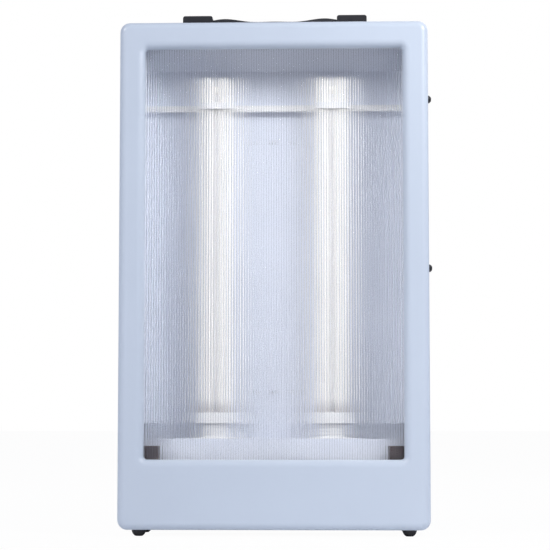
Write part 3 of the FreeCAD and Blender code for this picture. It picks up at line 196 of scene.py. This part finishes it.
def clearPanelPlastic():
    # clear acrylic with a fine wave across its front face only
    look = {"tint": (0.97, 0.975, 0.985), "bend": 1.49, "roughness": 0.05, "pitch": 0.0014, "wave": 0.00042,
            "skin": 0.0005, "shadow": (0.97, 0.98, 1.0)}
    material, tree, shader = startMaterial("clearPanelPlastic", look["tint"], look["roughness"])
    shader.inputs["IOR"].default_value = look["bend"]
    shader.inputs["Transmission Weight"].default_value = 1.0
    place = addNode(tree, "ShaderNodeTexCoord").outputs["Object"]
    reeds = addNode(tree, "ShaderNodeTexWave", wave_type="BANDS", bands_direction="X", wave_profile="TRI")
    pitchAtOne = 2 * math.pi / 20  # how far apart the bands lie at a scale of 1
    reeds.inputs["Scale"].default_value = pitchAtOne / look["pitch"]
    reeds.inputs["Distortion"].default_value = 0.0
    tree.links.new(place, reeds.inputs["Vector"])
    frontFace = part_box("diffuser_panel")[0].y
    front = calculate(tree, "LESS_THAN", splitPlace(tree, place)["Y"], frontFace + look["skin"])
    bump(tree, shader, calculate(tree, "MULTIPLY", reeds.outputs["Fac"], front), 1.0, look["wave"])
    clear = addNode(tree, "ShaderNodeBsdfTransparent")  # lets the lamps' light straight through
    clear.inputs["Color"].default_value = (*look["shadow"], 1)
    mixShaders(tree, rayKind(tree, "Is Shadow Ray"), shader.outputs["BSDF"], clear.outputs["BSDF"],
               "Material Output")
    return material


finishes = {
    "steel": {"name": "zincSheet", "color": (0.60, 0.61, 0.62), "roughness": 0.36, "metallic": 1.0,
              "cloud": (90, 0.10), "grain": (500, 0.1, 0.0002), "stretch": (1, 1, 0.08)},
    "reflector_white": {"name": "reflectorPaint", "color": (0.71, 0.745, 0.83), "roughness": 0.42,
                        "cloud": (11, 0.03), "grain": (800, 0.08, 0.0002)},
    "lamp_plastic": {"name": "lampPlastic", "color": (0.80, 0.80, 0.80), "roughness": 0.38,
                     "cloud": (30, 0.03), "grain": (900, 0.1, 0.0002)},
    "black_rubber": {"name": "blackRubber", "color": (0.022, 0.021, 0.022), "roughness": 0.62,
                     "cloud": (60, 0.25), "grain": (1400, 0.35, 0.0004)},
    "brown_rubber": {"name": "brownFoam", "color": (0.055, 0.035, 0.032), "roughness": 0.85,
                     "cloud": (80, 0.2), "grain": (1500, 0.6, 0.0006)},
    "brass": {"name": "bareBrass", "color": (0.72, 0.52, 0.22), "roughness": 0.28, "metallic": 1.0,
              "cloud": (120, 0.08), "grain": (700, 0.1, 0.0001)},
    "screw_steel": {"name": "screwZinc", "color": (0.64, 0.64, 0.65), "roughness": 0.3, "metallic": 1.0,
                    "cloud": (150, 0.08), "grain": (1200, 0.1, 0.0001)},
    "black_steel": {"name": "blackOxide", "color": (0.018, 0.018, 0.02), "roughness": 0.3, "metallic": 0.4,
                    "cloud": (150, 0.2), "grain": (1500, 0.15, 0.0002)},
    "black_plastic": {"name": "blackMoulded", "color": (0.02, 0.02, 0.022), "roughness": 0.42,
                      "cloud": (40, 0.15), "grain": (1700, 0.3, 0.0003)},
    "strap_vinyl": {"name": "strapVinyl", "color": (0.022, 0.022, 0.025), "roughness": 0.48,
                    "cloud": (50, 0.2), "grain": (1300, 0.5, 0.0005)},
    "fuse_glass": {"name": "fuseGlass", "color": (0.7, 0.74, 0.74), "roughness": 0.08,
                   "cloud": (200, 0.05), "grain": (900, 0.05, 0.0001)},
    "wire_brown": {"name": "brownLead", "color": (0.10, 0.035, 0.015), "roughness": 0.4,
                   "cloud": (60, 0.1), "grain": (900, 0.1, 0.0001)},
    "wire_blue": {"name": "blueLead", "color": (0.02, 0.06, 0.30), "roughness": 0.4,
                  "cloud": (60, 0.1), "grain": (900, 0.1, 0.0001)},
    "wire_green": {"name": "greenLead", "color": (0.10, 0.28, 0.03), "roughness": 0.4,
                   "cloud": (60, 0.1), "grain": (900, 0.1, 0.0001)},
    "wire_white": {"name": "whiteSleeve", "color": (0.74, 0.74, 0.72), "roughness": 0.5,
                   "cloud": (60, 0.05), "grain": (900, 0.1, 0.0001)},
}
materials = {"case_white": casePaint(), "lamp_glass": lampPhosphor(), "clear_panel": clearPanelPlastic()}
for slot, finish in finishes.items():
    materials[slot] = surface(**finish)

slotOf = {entry["node"]: entry["material_slot"] for entry in frame["record"]["subparts"]}
for name, node in nodes.items():
    node.data.materials.clear()
    node.data.materials.append(materials[slotOf[name]])
print("materials:", len(materials))


# modelling helpers

smoothAngle = math.radians(35)  # edges sharper than this stay crisp


def pick(*pieces):  # selects the pieces alone, with the first one active
    bpy.ops.object.select_all(action="DESELECT")
    for piece in pieces:
        piece.select_set(True)
    bpy.context.view_layer.objects.active = pieces[0]


def applyPlace():
    bpy.ops.object.transform_apply(location=True, rotation=True, scale=True)


def roundEdges(piece, width):
    bevel = piece.modifiers.new("edge", "BEVEL")
    bevel.width = width
    bevel.segments = 2
    bevel.limit_method = "ANGLE"
    bpy.ops.object.modifier_apply(modifier=bevel.name)


# screw heads

def domedHead(radius, rise):
    # the upper half of a ball, closed below and pressed flat to its rise
    bpy.ops.mesh.primitive_uv_sphere_add(segments=40, ring_count=24, radius=radius)
    head = bpy.context.object
    bpy.ops.object.mode_set(mode="EDIT")
    bpy.ops.mesh.select_all(action="DESELECT")
    bpy.ops.object.mode_set(mode="OBJECT")
    belowMiddle = -0.01 * radius
    for vertex in head.data.vertices:
        vertex.select = vertex.co.z < belowMiddle
    bpy.ops.object.mode_set(mode="EDIT")
    bpy.ops.mesh.delete(type="VERT")
    bpy.ops.mesh.select_all(action="SELECT")
    bpy.ops.mesh.region_to_loop()
    bpy.ops.mesh.edge_face_add()
    bpy.ops.mesh.select_all(action="SELECT")
    bpy.ops.transform.resize(value=(1, 1, rise / radius), center_override=(0, 0, 0))
    bpy.ops.mesh.normals_make_consistent(inside=False)
    bpy.ops.object.mode_set(mode="OBJECT")
    return head


def flatHead(radius, rise):
    bpy.ops.mesh.primitive_cylinder_add(vertices=40, radius=radius, depth=rise, location=(0, 0, rise / 2))
    bpy.ops.object.transform_apply(location=True)
    return bpy.context.object


def screwHead(radius, rise, domed):
    # stands on z 0, with a cross recess in its crown and a shank below; arm, slot and shank are shares of
    # the radius, and depth is a share of the rise
    look = {"arm": 0.62, "slot": 0.13, "depth": 0.55, "edge": 0.00018, "shank": 0.45, "reach": 0.006}
    bpy.ops.object.select_all(action="DESELECT")
    head = domedHead(radius, rise) if domed else flatHead(radius, rise)
    for turn in (45, 135):
        bpy.ops.mesh.primitive_cube_add(size=1, location=(0, 0, rise), rotation=(0, 0, math.radians(turn)))
        blade = bpy.context.object
        blade.scale = (2 * look["arm"] * radius, 2 * look["slot"] * radius, 2 * look["depth"] * rise)
        applyPlace()
        cut = head.modifiers.new("recess", "BOOLEAN")
        cut.object = blade
        pick(head)
        bpy.ops.object.modifier_apply(modifier=cut.name)
        bpy.data.objects.remove(blade)
    roundEdges(head, look["edge"])
    bpy.ops.mesh.primitive_cylinder_add(vertices=20, radius=radius * look["shank"], depth=look["reach"],
                                        location=(0, 0, -look["reach"] / 2))
    pick(head, bpy.context.object)
    bpy.ops.object.join()
    applyPlace()
    bpy.ops.object.shade_smooth_by_angle(angle=smoothAngle)
    return head


def screwSet(name, node, material, look, spots, toward):
    # one head, copied to each spot and turned to face outwards, in place of the plain screws
    head = screwHead(look["radius"], look["rise"], look["domed"])
    copies = []
    for spot in spots:
        pick(head)
        bpy.ops.object.duplicate()
        twin = bpy.context.object
        twin.location = spot
        twin.rotation_euler = Vector(toward).to_track_quat("Z", "Y").to_euler()
        applyPlace()
        copies.append(twin)
    bpy.data.objects.remove(head)
    pick(*copies)
    bpy.ops.object.join()
    piece = bpy.context.object
    piece.name = name
    piece.data.materials.clear()
    piece.data.materials.append(materials[material])
    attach(piece, "case")
    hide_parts(node)


def sideScrewHeads():
    look = {"radius": 0.0045, "rise": 0.004, "domed": True, "y": -0.037, "levels": (0.296, 0.486)}
    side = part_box("front_housing")[1].x
    screwSet("sideScrewHeads", "side_screws", "black_steel", look,
             [(side, look["y"], level) for level in look["levels"]], (1, 0, 0))


def flushScrewHeads():
    look = {"radius": 0.0033, "rise": 0.0013, "domed": False, "y": -0.037, "levels": (0.296, 0.486),
            "sink": 0.0015}
    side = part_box("front_housing")[0].x
    screwSet("flushScrewHeads", "side_flush_screws", "screw_steel", look,
             [(side + look["sink"], look["y"], level) for level in look["levels"]], (-1, 0, 0))


def coverScrewHeads():
    look = {"radius": 0.0032, "rise": 0.0013, "domed": False, "x": 0.154, "levels": (0.05, 0.29, 0.53),
            "sink": 0.0014}
    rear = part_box("rear_cover")[1].y
    screwSet("coverScrewHeads", "rear_cover_screws", "screw_steel", look,
             [(side * look["x"], rear - look["sink"], level) for side in (-1, 1) for level in look["levels"]],
             (0, 1, 0))


def handleScrewHeads():
    look = {"radius": 0.0039, "rise": 0.0013, "domed": False, "x": 0.088, "sink": 0.0016}
    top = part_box("handle_cap_left")[1].z
    screwSet("handleScrewHeads", "handle_screws", "black_steel", look,
             [(side * look["x"], 0, top - look["sink"]) for side in (-1, 1)], (0, 0, 1))


sideScrewHeads()
flushScrewHeads()
coverScrewHeads()
handleScrewHeads()
print("screw heads ready")


# switch marks

def rockerMarks():
    # a bar on the upper half and a ring on the lower half, printed flat on the two slopes of the rocker
    look = {"tilt": -7, "slope": 10.42, "out": 0.00558, "along": 0.0049,
            "bar": (0.0007, 0.0046, 0.00012), "barEdge": 0.00005,
            "ring": 0.0021, "line": 0.00034, "ringShape": (0.85, 1.0, 0.18),
            "paint": (0.72, 0.72, 0.70), "roughness": 0.5, "cloud": (400, 0.06),
            "grain": (2500, 0.2, 0.00005)}
    pivot = next(Vector(joint["pos_m"]) for joint in frame["joints"] if joint["name"] == "rocker_tilt")
    marks = []
    for half in (1, -1):
        bpy.ops.object.select_all(action="DESELECT")
        if half > 0:
            bpy.ops.mesh.primitive_cube_add(size=1)
            mark = bpy.context.object
            mark.scale = look["bar"]
            bpy.ops.object.transform_apply(scale=True)
            roundEdges(mark, look["barEdge"])
        else:
            bpy.ops.mesh.primitive_torus_add(major_segments=48, minor_segments=10, major_radius=look["ring"],
                                             minor_radius=look["line"])
            mark = bpy.context.object
            mark.scale = look["ringShape"]
            bpy.ops.object.transform_apply(scale=True)
        tilted = Matrix.Rotation(math.radians(look["tilt"]), 3, "X")
        sloped = Matrix.Rotation(math.radians(look["tilt"] - half * look["slope"]), 3, "X")
        mark.location = pivot + tilted @ Vector((0, look["out"], half * look["along"]))
        mark.rotation_euler = (sloped @ Vector((0, 1, 0))).to_track_quat("Z", "Y").to_euler()
        applyPlace()
        marks.append(mark)
    pick(*marks)
    bpy.ops.object.join()
    piece = bpy.context.object
    piece.name = "rockerMarks"
    bpy.ops.object.shade_smooth_by_angle(angle=smoothAngle)
    ink = surface("markInk", look["paint"], look["roughness"], cloud=look["cloud"], grain=look["grain"])
    piece.data.materials.append(ink)
    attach(piece, "rocker")


rockerMarks()
print("rocker marks ready")


# light and camera

def aim(holder, spot, target):
    bpy.context.scene.collection.objects.link(holder)
    holder.location = spot
    holder.rotation_euler = (Vector(target) - Vector(spot)).to_track_quat("-Z", "Y").to_euler()


def room():
    # a soft blue room that the camera sees as white
    look = {"blue": (0.72, 0.76, 1.0), "level": 0.40}
    world = bpy.data.worlds.new("studioWorld")
    bpy.context.scene.world = world
    world.use_nodes = True
    tree = world.node_tree
    soft = tree.nodes["Background"]
    soft.inputs["Color"].default_value = (*look["blue"], 1)
    soft.inputs["Strength"].default_value = look["level"]
    white = addNode(tree, "ShaderNodeBackground")
    white.inputs["Color"].default_value = (1, 1, 1, 1)
    mixShaders(tree, rayKind(tree, "Is Camera Ray"), soft.outputs["Background"], white.outputs["Background"],
               "World Output")


def floorPaper():
    # pale paper that the camera sees almost white, with a trace of the object's shadow
    look = {"size": 30, "color": (0.86, 0.87, 0.89), "roughness": 0.8, "white": 0.97}
    bpy.ops.object.select_all(action="DESELECT")
    bpy.ops.mesh.primitive_plane_add(size=look["size"], location=(0, 0, 0))
    floor = bpy.context.object
    floor.name = "floor"
    material, tree, shader = startMaterial("floorPaper", look["color"], look["roughness"])
    paper = addNode(tree, "ShaderNodeEmission")
    paper.inputs["Color"].default_value = (1, 1, 1, 1)
    seen = calculate(tree, "MULTIPLY", rayKind(tree, "Is Camera Ray"), look["white"])
    mixShaders(tree, seen, shader.outputs["BSDF"], paper.outputs["Emission"], "Material Output")
    floor.data.materials.append(material)


def studioLamps():
    look = {
        "leftLamp": {"spot": (-3.3, -2.7, 2.9), "size": (1.5, 1.3), "watts": 84, "color": (1.0, 0.98, 0.94)},
        "rightLamp": {"spot": (0.80, -0.70, 1.0), "size": (0.4, 0.3), "watts": 9, "color": (1.0, 0.99, 0.97)},
        "backLamp": {"spot": (0.9, 1.6, 1.6), "size": (1.4, 1.4), "watts": 9, "color": (1.0, 1.0, 1.0)},
    }
    middle = (0, 0, 0.29)
    for name, settings in look.items():
        lamp = bpy.data.lights.new(name, "AREA")
        lamp.shape = "RECTANGLE"
        lamp.size, lamp.size_y = settings["size"]
        lamp.energy = settings["watts"]
        lamp.color = settings["color"]
        aim(bpy.data.objects.new(name, lamp), settings["spot"], middle)


def photoCamera():
    look = {"spot": (0.0704, -2.0477, 0.1309), "target": (0.0018, -0.055, 0.2876), "lens": 118.3,
            "sensor": 36, "far": 60}
    data = bpy.data.cameras.new("photoCamera")
    data.lens = look["lens"]
    data.sensor_width = look["sensor"]
    data.clip_end = look["far"]
    holder = bpy.data.objects.new("photoCamera", data)
    aim(holder, look["spot"], look["target"])
    bpy.context.scene.camera = holder


room()
floorPaper()
studioLamps()
photoCamera()
bpy.context.scene.view_settings.view_transform = "Standard"
print("studio ready")
